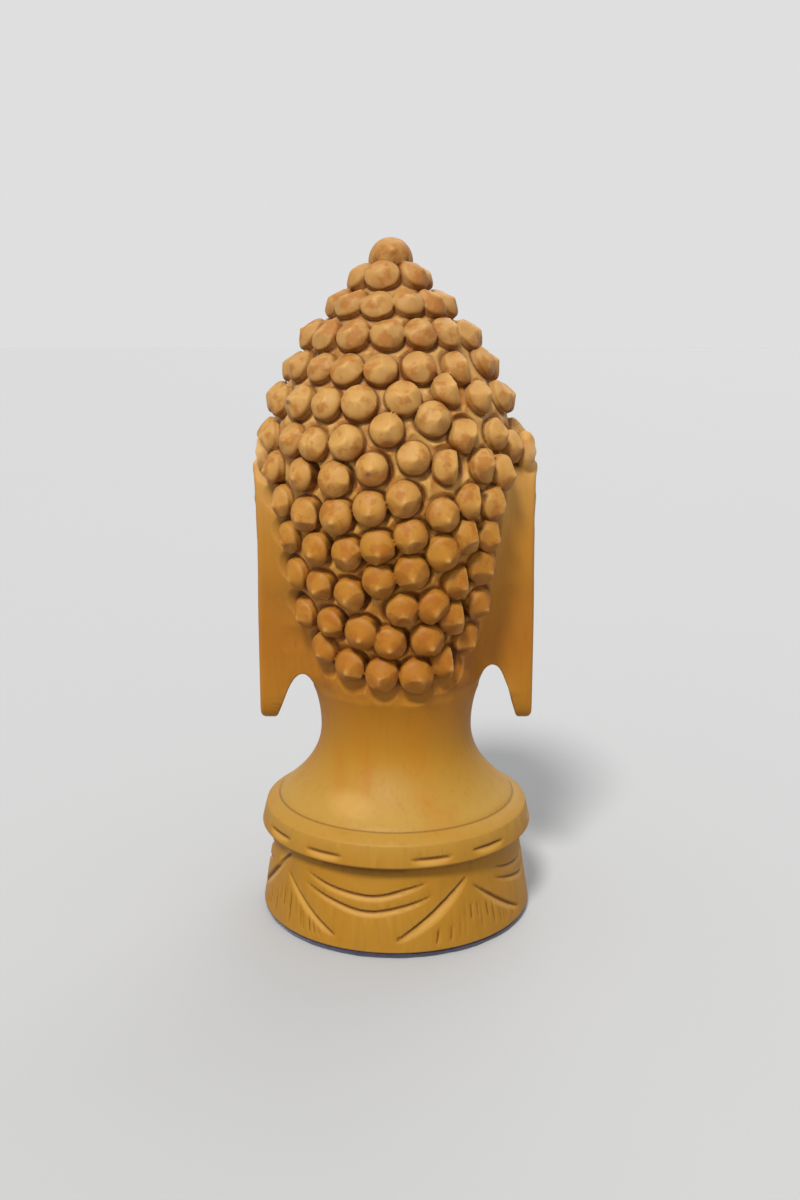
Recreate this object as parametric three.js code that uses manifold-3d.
// A carved wooden head on its turned stand, cut from one round blank of wood, with a felt disc below.
// The face looks along -Y, the back of the head along +Y, and +Z is up.
// The origin is at the centre of the underside. Everything is in millimetres.

import * as THREE from "three";
import { mergeVertices } from "three/addons/utils/BufferGeometryUtils.js";
import Module from "manifold-3d";

const wasm = await Module();
wasm.setup();

// Driving dimensions: the blank and the felt
const BLANK_RADIUS = 31.3; // the drum's foot, the collar and the ears still reach the round blank
const FELT_THICKNESS = 1.2;
const FELT_INSET = 0.3; // the felt stops this far inside the drum's foot

// Driving dimensions: the turned stand
const DRUM_HEIGHT = 18.6;
const DRUM_TAPER = 2.9; // the drum's top is this much narrower than its foot, at the radius
const COLLAR_UNDERCUT = 0.9; // the collar's underside rises outwards from the edge to the drum
const COLLAR_BAND_HEIGHT = 4.8;
const COLLAR_BAND_LEAN = 1.1; // the band leans in by this much at its top
const COLLAR_BEVEL_HEIGHT = 1.5;
const COLLAR_BEVEL_WIDTH = 2.2;
const RING_GROOVE_WIDTH = 0.6; // the fine turned line between the bevel and the neck
const RING_GROOVE_DEPTH = 0.45;
const NECK_RADIUS = 17.3; // at the waist
const NECK_LOWER_HEIGHT = 16.7; // from the ring groove to the waist
const NECK_UPPER_HEIGHT = 8.3; // from the waist to the level of the chin's underside
const NECK_SWELL = 2.4; // how much the neck widens again towards the head

// Driving dimensions: the head
const HEAD_HEIGHT = 100; // from the level of the chin's underside to the crown
const DOME_LEAN = 1.1; // how far the crown stands to one side
const CURL_RADIUS = 4.1; // at its sunken foot
const CURL_HEIGHT = 3.1;
const CURL_SINK = 1.2; // how deep a curl's foot goes below the hair's ground
const EAR_FRONT = 9; // the ears' front and back faces, from the blank's axis
const EAR_BACK = 8.5;
const EAR_HOLLOW_DEPTH = 1.9;

// Driving dimensions: the carved strokes
const SWAG_COUNT = 4;
const SWAG_TURN = -12; // the swag at the back is centred this far round, in degrees
const SWAG_STROKE_WIDTH = 1.5;
const SWAG_STROKE_DEPTH = 0.7;
const HOLLOW_WIDTH = 2.4; // the gouged hollow at the head of each swag, under the collar
const HOLLOW_DEPTH = 0.9;
const TICK_PAIRS = 5; // pairs of short cuts round the collar's band
const TICK_TURN = -44;
const TICK_GAP = 26.5; // between the two cuts of a pair, in degrees
const TICK_LENGTH = 18; // in degrees
const TICK_WIDTH = 1.3;
const TICK_DEPTH = 0.5;
const FACE_LINE_WIDTH = 0.9;
const FACE_LINE_DEPTH = 0.5;

// How finely the round forms are cut into flat faces
const STAND_SIDES = 28;
const HAIR_SIDES = 16;
const CURL_SIDES = 5;
const FACE_COLUMNS = 18;
const FACE_ROWS = 19;
const FOLD_STEPS = 4;
const SHORT_STEPS = 2;
const BORDER_STEPS = 3;

// Levels up the stand
const drumFoot = FELT_THICKNESS;
const drumTop = drumFoot + DRUM_HEIGHT;
const bandFoot = drumTop + COLLAR_UNDERCUT;
const bandTop = bandFoot + COLLAR_BAND_HEIGHT;
const bevelTop = bandTop + COLLAR_BEVEL_HEIGHT;
const grooveTop = bevelTop + RING_GROOVE_WIDTH;
const waist = bevelTop + NECK_LOWER_HEIGHT;
const headBase = waist + NECK_UPPER_HEIGHT;

// Radii up the stand
const drumTopRadius = BLANK_RADIUS - DRUM_TAPER;
const bandTopRadius = BLANK_RADIUS - COLLAR_BAND_LEAN;
const bevelTopRadius = bandTopRadius - COLLAR_BEVEL_WIDTH;

const degrees = THREE.MathUtils.degToRad;
const mix = THREE.MathUtils.lerp;
const bell = (offset, reach) => Math.exp(-((offset / reach) ** 2));

// The head's heights are shares of HEAD_HEIGHT above the chin's underside, and its widths and depths
// are shares of the blank's radius, from which it was carved.
const level = (share) => headBase + share * HEAD_HEIGHT;

// A closed three.js geometry as a solid that can be joined and cut
function solid(geometry) {
  const bare = geometry.clone();
  bare.deleteAttribute("normal");
  bare.deleteAttribute("uv");
  const merged = mergeVertices(bare, 1e-4);
  const corners = merged.index.array;
  const kept = [];
  for (let i = 0; i < corners.length; i += 3) {
    const [a, b, c] = [corners[i], corners[i + 1], corners[i + 2]];
    if (a !== b && b !== c && c !== a) kept.push(a, b, c);
  }
  return new wasm.Manifold(
    new wasm.Mesh({
      numProp: 3,
      vertProperties: new Float32Array(merged.attributes.position.array),
      triVerts: new Uint32Array(kept),
    }),
  );
}

// A solid back as a named mesh
function named(name, shape, material) {
  const { vertProperties, triVerts } = shape.getMesh();
  const geometry = new THREE.BufferGeometry();
  geometry.setAttribute("position", new THREE.BufferAttribute(vertProperties, 3));
  geometry.setIndex(new THREE.BufferAttribute(triVerts, 1));
  geometry.computeVertexNormals();
  const mesh = new THREE.Mesh(geometry, material);
  mesh.name = name;
  return mesh;
}

// A profile of [radius, height] points turned about the upright axis
function turned(points, sides) {
  const profile = points.map(([radius, height]) => new THREE.Vector2(radius, height));
  return new THREE.LatheGeometry(profile, sides).rotateX(Math.PI / 2);
}

// Moves every vertex of a geometry to where place(x, y, z) says
function bent(geometry, place) {
  const points = geometry.attributes.position;
  for (let i = 0; i < points.count; i += 1) {
    const [x, y, z] = place(points.getX(i), points.getY(i), points.getZ(i));
    points.setXYZ(i, x, y, z);
  }
  return geometry;
}

// The turned stand

function drumRadius(height) {
  return BLANK_RADIUS - (DRUM_TAPER * (height - drumFoot)) / DRUM_HEIGHT;
}

function bandRadius(height) {
  return BLANK_RADIUS - (COLLAR_BAND_LEAN * (height - bandFoot)) / COLLAR_BAND_HEIGHT;
}

function neckRadius(height) {
  if (height > waist) {
    return NECK_RADIUS + NECK_SWELL * ((height - waist) / NECK_UPPER_HEIGHT / 1.375) ** 2;
  }
  const drop = (waist - height) / (waist - grooveTop);
  return NECK_RADIUS + (bevelTopRadius - NECK_RADIUS) * drop ** 2.1;
}

function turnedStand() {
  const lowerNeck = [0, 0.09, 0.2, 0.36, 0.6, 1].map((share) => mix(grooveTop, waist, share));
  const upperNeck = [0.8, 1.4].map((share) => waist + share * NECK_UPPER_HEIGHT);
  const profile = [
    [0, drumFoot],
    [BLANK_RADIUS, drumFoot],
    [drumTopRadius, drumTop],
    [BLANK_RADIUS, bandFoot],
    [bandTopRadius, bandTop],
    [bevelTopRadius, bevelTop],
    [bevelTopRadius - RING_GROOVE_DEPTH, bevelTop + RING_GROOVE_WIDTH / 2],
    ...[...lowerNeck, ...upperNeck].map((height) => [neckRadius(height), height]),
    [0, waist + 1.4 * NECK_UPPER_HEIGHT],
  ];
  return solid(turned(profile, STAND_SIDES));
}

// The hair's ground, which the curls stand on: a pointed dome, narrowest at the nape

const hairProfile = new THREE.SplineCurve(
  [
    [0.56, 0],
    [0.632, 0.04],
    [0.656, 0.11],
    [0.72, 0.19],
    [0.8, 0.29],
    [0.87, 0.4],
    [0.885, 0.5],
    [0.85, 0.58],
    [0.785, 0.656],
    [0.665, 0.725],
    [0.54, 0.793],
    [0.37, 0.855],
    [0.2, 0.914],
    [0.09, 0.96],
  ].map(([radius, height]) => new THREE.Vector2(radius, height)),
).getPoints(78);

// The pointed dome leans a little towards the head's left, as it was carved by eye
function domeLean(height) {
  return DOME_LEAN * THREE.MathUtils.smoothstep(height, level(0.46), level(0.6));
}

function hairRadius(height) {
  const share = (height - headBase) / HEAD_HEIGHT;
  const above = hairProfile.findIndex((point) => point.y >= share);
  if (above === 0) return hairProfile[0].x * BLANK_RADIUS;
  if (above < 0) return 0;
  const [low, high] = [hairProfile[above - 1], hairProfile[above]];
  return mix(low.x, high.x, (share - low.y) / (high.y - low.y)) * BLANK_RADIUS;
}

function hairLine(width) {
  return level(0.65 - 0.1 * (width / 0.8) ** 2);
}

function hairMass() {
  const heights = [0, 0.04, 0.15, 0.29, 0.42, 0.52, 0.62, 0.69, 0.79, 0.86, 0.96];
  const profile = [
    [0, level(0)],
    ...heights.map((share) => [hairRadius(level(share)), level(share)]),
    [0, level(0.97)],
  ];
  const dome = bent(turned(profile, HAIR_SIDES), (x, y, z) => [x + domeLean(z), y, z]);
  return solid(dome).subtract(faceOpening());
}

// What is cut out of the hair below the hairline, for the face
function faceOpening() {
  const halfWidth = 0.97;
  const arch = new THREE.Shape();
  arch.moveTo(-halfWidth * BLANK_RADIUS, level(-0.2));
  arch.lineTo(halfWidth * BLANK_RADIUS, level(-0.2));
  for (let step = 8; step >= -8; step -= 1) {
    const width = (step / 8) * halfWidth;
    arch.lineTo(width * BLANK_RADIUS, hairLine(width));
  }
  const cut = new THREE.ExtrudeGeometry(arch, { depth: BLANK_RADIUS, bevelEnabled: false });
  return solid(cut.rotateX(Math.PI / 2).translate(0, -0.75 * EAR_FRONT, 0));
}

// The face: calm, with lowered lids, on even thirds from hairline to brow to nose to chin

const faceDepths = [
  [0.02, 0.776],
  [0.05, 0.812],
  [0.1, 0.815],
  [0.16, 0.838],
  [0.25, 0.852],
  [0.4, 0.845],
  [0.46, 0.862],
  [0.53, 0.866],
  [0.6, 0.832],
  [0.65, 0.77],
  [0.7, 0.68],
];

function faceDepth(share) {
  const above = Math.max(1, faceDepths.findIndex(([height]) => height >= share));
  const [[low, lowDepth], [high, highDepth]] = [faceDepths[above - 1], faceDepths[above]];
  return mix(lowDepth, highDepth, (share - low) / (high - low));
}

const eyeWidth = 0.4; // how far each eye's centre is from the middle
const eyeLevel = 0.39;
const mouthLevel = 0.163;
const noseTip = 0.255;
const noseRoot = 0.42;

function browLevel(width) {
  return 0.445 + 0.03 * (1 - ((Math.abs(width) - eyeWidth) / 0.36) ** 2);
}

function noseRelief(width, share) {
  if (share > noseRoot + 0.05) return 0;
  const along = THREE.MathUtils.clamp((noseRoot - share) / (noseRoot - noseTip), 0, 1);
  const fade = share < noseTip ? bell(share - noseTip, 0.014) : 1;
  const start = share > noseRoot ? bell(share - noseRoot, 0.025) : 1;
  const ridge = mix(0.025, 0.14, along) * bell(width, mix(0.07, 0.1, along));
  const wings = 0.07 * bell(Math.abs(width) - 0.14, 0.06) * bell(share - 0.25, 0.02);
  return ridge * fade * start + wings;
}

function faceRelief(width, share) {
  const side = Math.abs(width) - eyeWidth;
  const lips = Math.max(0, 1 - (width / 0.32) ** 2);
  return (
    noseRelief(width, share) +
    0.028 * bell(share - browLevel(width), 0.018) * bell(side, 0.42) -
    0.075 * bell(side, 0.26) * bell(share - 0.415, 0.045) +
    0.075 * bell(side, 0.23) * bell(share - eyeLevel, 0.034) +
    0.05 * lips * bell(share - 0.183, 0.014) +
    0.055 * lips * bell(share - 0.143, 0.017) -
    0.03 * bell(width, 0.26) * bell(share - 0.105, 0.018) +
    0.045 * bell(width, 0.22) * bell(share - 0.055, 0.035) +
    0.045 * bell(Math.abs(width) - 0.47, 0.25) * bell(share - 0.27, 0.1)
  );
}

// Half the face's width at a height: it meets the hair at the temples and narrows to the jaw
function faceHalfWidth(height) {
  return Math.max(hairRadius(height), 0.66 * BLANK_RADIUS) + 0.01 * BLANK_RADIUS;
}

// The point on the face's skin at an angle from straight ahead, at a height
function facePoint(angle, height) {
  const share = (height - headBase) / HEAD_HEIGHT;
  const fullness = 0.87; // under 1, so the face is a little squarer than an ellipse
  const x = Math.sign(angle) * faceHalfWidth(height) * Math.abs(Math.sin(angle)) ** fullness;
  const depth = faceDepth(share) * BLANK_RADIUS * Math.abs(Math.cos(angle)) ** fullness;
  return [x, -depth - faceRelief(x / BLANK_RADIUS, share) * BLANK_RADIUS, height];
}

function jawLevel(angle) {
  return level(0.02 + 0.12 * Math.abs(Math.sin(angle)) ** 2.4);
}

// A box whose front is bent to the face and whose back lies inside the head
function faceSolid() {
  const reach = degrees(74);
  const backDepth = 0.1 * BLANK_RADIUS;
  const rise = (share) => 0.8 * share + 0.2 * share ** 4; // closer together below the brow
  const box = new THREE.BoxGeometry(2, 1, 1, FACE_COLUMNS, 1, FACE_ROWS);
  return solid(
    bent(box, (across, back, up) => {
      const angle = Math.sign(across) * Math.abs(across) ** 1.25 * reach;
      const width = (across * Math.sin(reach) * faceHalfWidth(level(0.4))) / BLANK_RADIUS;
      const height = mix(jawLevel(angle), hairLine(width) + 0.02 * HEAD_HEIGHT, rise(up + 0.5));
      const [x, y, z] = facePoint(angle, height);
      if (back < 0) return [x, y, z];
      return [0.9 * x, -backDepth, Math.max(height, level(0.06))];
    }),
  );
}

// The raised dot between the brows
function browDot() {
  const radius = 0.045 * BLANK_RADIUS;
  const [x, y, z] = facePoint(0, level(0.475));
  return solid(new THREE.SphereGeometry(radius, 8, 5).scale(1, 0.6, 1).translate(x, y, z));
}

// The curls, in level rows that ring the head, with one wandering column lifted out of line at the back.
// Each row: its height, how many curls would ring the head, and the angle of one curl from the back.

const curlRows = [
  { height: 0.914, count: 6, turn: -12 },
  { height: 0.856, count: 12, turn: -13 },
  { height: 0.793, count: 15, turn: -2.6 },
  { height: 0.725, count: 16, turn: -4.6 },
  { height: 0.656, count: 18, turn: -11, lift: 0.028, liftTurn: 28 },
  { height: 0.578, count: 20.5, turn: -1.6, lift: 0.046, liftTurn: 15, from: -128, to: 128 },
  { height: 0.512, count: 21.7, turn: -9, lift: 0.042, liftTurn: 9, from: -64, to: 62 },
  { height: 0.434, count: 24.5, turn: -10.7, lift: 0.038, liftTurn: 3, from: -60, to: 56 },
  { height: 0.36, count: 25.2, turn: -8.4, lift: 0.033, liftTurn: 6, from: -60, to: 56 },
  { height: 0.268, count: 24.8, turn: -7.7, lift: 0.045, liftTurn: 2, from: -60, to: 14 },
  { height: 0.268, count: 26, turn: 32, from: 28, to: 56 },
  { height: 0.235, count: 24.8, turn: 4, from: 0, to: 52 },
  { height: 0.168, count: 20, turn: -1, slope: -0.0004, from: -60, to: 48 },
  { height: 0.083, count: 18.4, turn: -8.2, from: -52, to: 40 },
];
const liftReach = 11; // how wide the lifted column is, in degrees
const rowSmile = 0.035; // the rows behind the ears rise towards them by this share
const smileReach = 60;

// A number from -1 to 1 that is always the same for the same seed: no two curls sit quite true
function handWander(seed) {
  const wave = Math.sin(seed * 12.9898) * 43758.5453;
  return 2 * (wave - Math.floor(wave)) - 1;
}

function curlPlaces() {
  const places = [];
  curlRows.forEach(({ height, count, turn, lift, liftTurn, slope, from, to }, rank) => {
    const step = 360 / count;
    const first = from === undefined ? 0 : Math.ceil((from - turn) / step);
    const last = to === undefined ? count - 1 : Math.floor((to - turn) / step);
    for (let k = first; k <= last; k += 1) {
      const place = turn + k * step;
      const raised = lift ? lift * bell(place - liftTurn, liftReach) : 0;
      const smile = height < 0.5 ? rowSmile * (place / smileReach) ** 2 : 0;
      const seed = rank * 40 + k;
      places.push({
        turn: place + 0.05 * step * handWander(seed),
        share: height + raised + smile + (slope ?? 0) * place + 0.003 * handWander(seed + 0.5),
      });
    }
  });
  return places;
}

function curl(turn, share) {
  const profile = [
    [0, -CURL_SINK],
    [CURL_RADIUS, -CURL_SINK],
    [0.74 * CURL_RADIUS, 0.62 * CURL_HEIGHT],
    [0, CURL_HEIGHT],
  ].map(([radius, height]) => new THREE.Vector2(radius, height));
  const height = level(share);
  const slope = (hairRadius(height + 1) - hairRadius(height - 1)) / 2;
  const outward = degrees(turn);
  const radius = hairRadius(height);
  const normal = new THREE.Vector3(-Math.sin(outward), Math.cos(outward), -slope).normalize();
  const tilt = new THREE.Quaternion().setFromUnitVectors(new THREE.Vector3(0, 1, 0), normal);
  const knob = new THREE.LatheGeometry(profile, CURL_SIDES);
  knob.applyQuaternion(tilt);
  knob.translate(domeLean(height) - radius * Math.sin(outward), radius * Math.cos(outward), height);
  return solid(knob);
}

function crownCurl() {
  const foot = level(0.945);
  const radius = 1.25 * CURL_RADIUS;
  const tip = level(1);
  const profile = [
    [0, foot],
    [radius, foot],
    [0.86 * radius, mix(foot, tip, 0.55)],
    [0.5 * radius, mix(foot, tip, 0.88)],
    [0, tip],
  ];
  return solid(turned(profile, CURL_SIDES + 1).translate(domeLean(tip), 0, 0));
}

function curls() {
  const knobs = curlPlaces().map(({ turn, share }) => curl(turn, share));
  return wasm.Manifold.union([crownCurl(), ...knobs]);
}

// The ears: slabs left standing out to the blank's own surface, with long lobes that hang clear of the neck

function slab(points, depth) {
  const outline = new THREE.Shape(points.map(([across, up]) => new THREE.Vector2(across, up)));
  return new THREE.ExtrudeGeometry(outline, { depth, bevelEnabled: false });
}

// The ear as seen from behind: straight outside, with an arch between lobe and neck on the inside
function earFromBehind() {
  const points = [
    [0.5, 0.06],
    [0.64, 0.056],
    [0.72, 0.045],
    [0.79, 0.018],
    [0.83, -0.02],
    [0.862, -0.055],
    [0.885, -0.067],
    [0.965, -0.067],
    [1.01, -0.055],
    [1.01, 0.52],
    [0.5, 0.545],
  ];
  return points.map(([across, share]) => [across * BLANK_RADIUS, level(share)]);
}

// The ear as seen from the side: broad above, narrowing to the lobe. Forward is negative.
function earFromSide(inset) {
  const middle = (EAR_BACK - EAR_FRONT) / 2;
  const half = (EAR_BACK + EAR_FRONT) / 2;
  const points = [
    [-0.25, -0.067],
    [0.25, -0.067],
    [0.55, -0.03],
    [0.62, 0.08],
    [0.8, 0.2],
    [1, 0.3],
    [1, 0.46],
    [0.7, 0.51],
    [0, 0.53],
    [-0.7, 0.5],
    [-1, 0.42],
    [-0.9, 0.25],
    [-0.62, 0.1],
    [-0.55, -0.03],
  ];
  const centre = 0.26;
  const shrink = (value, amount) => value * (1 - amount);
  return points.map(([across, share]) => [
    middle + shrink(across, inset) * half,
    level(centre + shrink(share - centre, inset * 0.4)),
  ]);
}

function ear(side) {
  const behind = earFromBehind().map(([across, up]) => [side * across, up]);
  const thick = EAR_FRONT + EAR_BACK;
  const upright = slab(behind, thick).rotateX(Math.PI / 2).translate(0, EAR_BACK, 0);
  const acrossAxes = new THREE.Matrix4().makeBasis(
    new THREE.Vector3(0, 1, 0),
    new THREE.Vector3(0, 0, 1),
    new THREE.Vector3(1, 0, 0),
  );
  const blank = turned(
    [
      [0, level(-0.2)],
      [BLANK_RADIUS, level(-0.2)],
      [BLANK_RADIUS, level(0.7)],
      [0, level(0.7)],
    ],
    STAND_SIDES,
  );
  const seenFromSide = slab(earFromSide(0), BLANK_RADIUS).applyMatrix4(acrossAxes);
  const hollow = slab(earFromSide(0.42), BLANK_RADIUS).applyMatrix4(acrossAxes);
  hollow.translate(BLANK_RADIUS - EAR_HOLLOW_DEPTH, 0, 0);
  if (side < 0) {
    seenFromSide.translate(-BLANK_RADIUS, 0, 0);
    hollow.translate(EAR_HOLLOW_DEPTH * 2 - 3 * BLANK_RADIUS, 0, 0);
  }
  return solid(upright)
    .intersect(solid(seenFromSide))
    .intersect(solid(blank))
    .subtract(solid(hollow));
}

// Strokes of the gouge. A stroke is a long three-sided wedge laid along a path of [turn, height] points,
// point down into the wood, that runs out of the wood at both ends.

function stroke(points, radiusAt, width, depth, steps) {
  const path = new THREE.SplineCurve(points.map(([turn, up]) => new THREE.Vector2(turn, up)));
  const clear = 0.4 * depth;
  const wedge = new THREE.CylinderGeometry(1, 1, 1, 3, steps);
  return solid(
    bent(wedge, (side, along, out) => {
      const share = THREE.MathUtils.clamp(along + 0.5, 0, 1);
      const { x: turn, y: up } = path.getPoint(share);
      const { x: turnSpeed, y: upSpeed } = path.getTangent(share);
      const radius = radiusAt(up);
      const run = new THREE.Vector2(degrees(turnSpeed) * radius, upSpeed).normalize();
      const lift = (depth + clear) * (2 * share - 1) ** 6;
      const across = (side / Math.sqrt(0.75)) * width * 0.5 * (1 + clear / depth);
      const height = out > 0.5 ? -depth : clear;
      const reach = radius + height + lift;
      const angle = degrees(turn) - (across * run.y) / radius;
      return [-reach * Math.sin(angle), reach * Math.cos(angle), up + across * run.x];
    }),
  );
}

// One swag of cloth on the drum: a hollow at its head, two folds, and the border on each side
function swagStrokes(centre) {
  const half = 180 / SWAG_COUNT;
  const up = (share) => drumFoot + share * DRUM_HEIGHT;
  const fold = (reach, end, dip) => [
    [centre - reach, up(end)],
    [centre - 0.5 * reach, up(mix(dip, end, 0.27))],
    [centre, up(dip)],
    [centre + 0.5 * reach, up(mix(dip, end, 0.27))],
    [centre + reach, up(end)],
  ];
  const border = (side, top) => [
    [centre + side * (half + 1), up(top)],
    [centre + side * (half - 12), up(0.52)],
    [centre + side * (half - 35), up(0.13)],
  ];
  const line = (points, steps) =>
    stroke(points, drumRadius, SWAG_STROKE_WIDTH, SWAG_STROKE_DEPTH, steps);
  return [
    stroke(fold(25, 0.93, 0.87), drumRadius, HOLLOW_WIDTH, HOLLOW_DEPTH, FOLD_STEPS),
    line(fold(31, 0.84, 0.66), FOLD_STEPS),
    line(fold(31, 0.7, 0.475), FOLD_STEPS),
    line(border(-1, 0.74), BORDER_STEPS),
    line(border(1, 0.84), BORDER_STEPS),
  ];
}

function collarTicks() {
  const height = mix(bandFoot, bandTop, 0.45);
  const cuts = [];
  for (let pair = 0; pair < TICK_PAIRS; pair += 1) {
    for (const side of [-0.5, 0.5]) {
      const turn = TICK_TURN + (360 * pair) / TICK_PAIRS + side * TICK_GAP;
      const path = [
        [turn - TICK_LENGTH / 2, height],
        [turn + TICK_LENGTH / 2, height],
      ];
      cuts.push(stroke(path, bandRadius, TICK_WIDTH, TICK_DEPTH, SHORT_STEPS));
    }
  }
  return cuts;
}

// A line cut into the face along a path of [width, height] shares, for the lids and the mouth
function faceLine(points) {
  const path = new THREE.SplineCurve(points.map(([x, y]) => new THREE.Vector2(x, y)));
  const wedge = new THREE.CylinderGeometry(1, 1, 1, 3, FOLD_STEPS);
  return solid(
    bent(wedge, (side, along, out) => {
      const share = THREE.MathUtils.clamp(along + 0.5, 0, 1);
      const { x: width, y: up } = path.getPoint(share);
      const height = level(up);
      const sine = (width * BLANK_RADIUS) / faceHalfWidth(height);
      const angle = Math.sign(sine) * Math.asin(Math.min(1, Math.abs(sine)) ** (1 / 0.87));
      const [x, y, z] = facePoint(angle, height);
      const lift = FACE_LINE_DEPTH * (2 * share - 1) ** 6;
      const reach = out > 0.5 ? FACE_LINE_DEPTH : -1;
      return [x, y + reach - lift, z + (side / Math.sqrt(0.75)) * FACE_LINE_WIDTH];
    }),
  );
}

function faceLines() {
  const lid = (side) =>
    [
      [side * eyeWidth - 0.23, eyeLevel - (side > 0 ? 0.012 : 0.004)],
      [side * eyeWidth - 0.08, eyeLevel - 0.026],
      [side * eyeWidth + 0.08, eyeLevel - 0.026],
      [side * eyeWidth + 0.23, eyeLevel - (side > 0 ? 0.004 : 0.012)],
    ];
  const mouth = [
    [-0.3, mouthLevel + 0.008],
    [-0.15, mouthLevel],
    [0, mouthLevel + 0.002],
    [0.15, mouthLevel],
    [0.3, mouthLevel + 0.008],
  ];
  return [faceLine(lid(-1)), faceLine(lid(1)), faceLine(mouth)];
}

// The two pieces

const wood = new THREE.MeshStandardMaterial({ color: "#b98238", roughness: 0.5, metalness: 0 });
const felt = new THREE.MeshStandardMaterial({ color: "#1d1b2a", roughness: 0.95, metalness: 0 });

function carvedHead() {
  const mass = wasm.Manifold.union([
    turnedStand(),
    hairMass(),
    faceSolid(),
    browDot(),
    ear(-1),
    ear(1),
    curls(),
  ]);
  const swags = [];
  for (let k = 0; k < SWAG_COUNT; k += 1) {
    swags.push(...swagStrokes(SWAG_TURN + (360 * k) / SWAG_COUNT));
  }
  const strokes = wasm.Manifold.union([...swags, ...collarTicks(), ...faceLines()]);
  return named("carved_head", mass.subtract(strokes), wood);
}

function feltPad() {
  const radius = BLANK_RADIUS - FELT_INSET;
  const disc = new THREE.CylinderGeometry(radius, radius, FELT_THICKNESS, STAND_SIDES);
  disc.rotateX(Math.PI / 2).translate(0, 0, FELT_THICKNESS / 2);
  return named("felt_pad", solid(disc), felt);
}

const woodenHead = new THREE.Group();
woodenHead.add(carvedHead(), feltPad());

export default woodenHead;
